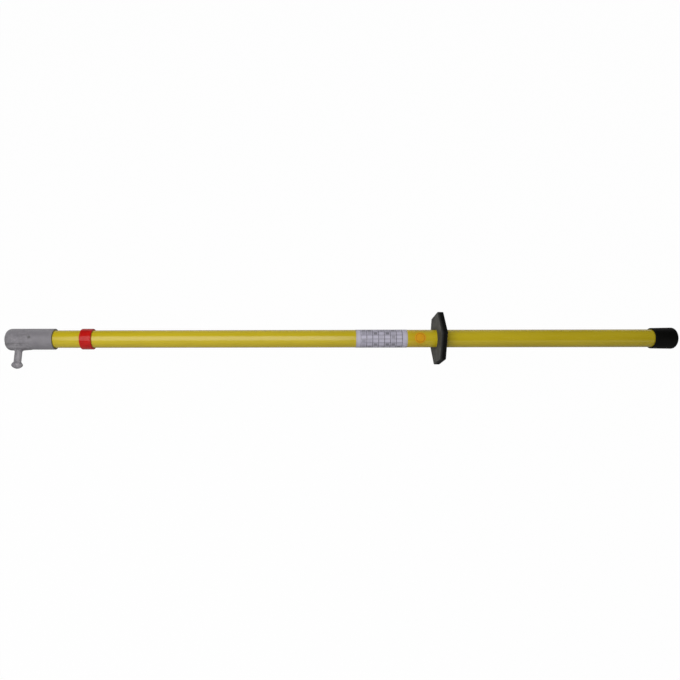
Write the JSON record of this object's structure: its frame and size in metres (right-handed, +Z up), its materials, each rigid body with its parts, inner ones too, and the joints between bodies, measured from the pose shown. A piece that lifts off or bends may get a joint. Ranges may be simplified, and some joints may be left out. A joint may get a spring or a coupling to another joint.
{
  "type": "operating hot stick",
  "caption": "Insulated operating stick: yellow tube, grey head with a side working pin, red limit ring, black hexagonal hand guard and end cap",
  "frame": {"origin": "middle of the hand guard's lower flat, on which the stick lies", "axes": "+X along the stick from the working head to the grip, +Z up, square to that flat; the working pin points to -Y and 60 degrees off straight down"},
  "size_m": [1.2117, 0.0994, 0.087],
  "materials": {
    "head_alloy": "matt grey casting",
    "dowel_steel": "dull ground steel",
    "yellow_glass_fibre": "satin gel coat over glass fibre",
    "plug_laminate": "sawn glass-fibre laminate",
    "filling_foam": "closed-cell foam",
    "seal_resin": "cast epoxy resin",
    "red_plastic": "satin moulded plastic",
    "label_film": "white printed film, left blank",
    "orange_film": "orange film, left blank",
    "guard_rubber": "matt moulded rubber",
    "cap_rubber": "smooth black rubber"
  },
  "bodies": {
    "root": {"working_head": "head_alloy", "lock_pin": "dowel_steel", "insulating_tube": "yellow_glass_fibre", "front_plug": "plug_laminate", "foam_core": "filling_foam", "rear_seal": "seal_resin", "limit_ring": "red_plastic", "rating_label": "label_film", "inspection_sticker": "orange_film", "hand_guard": "guard_rubber", "end_cap": "cap_rubber"}
  },
  "joints": []
}
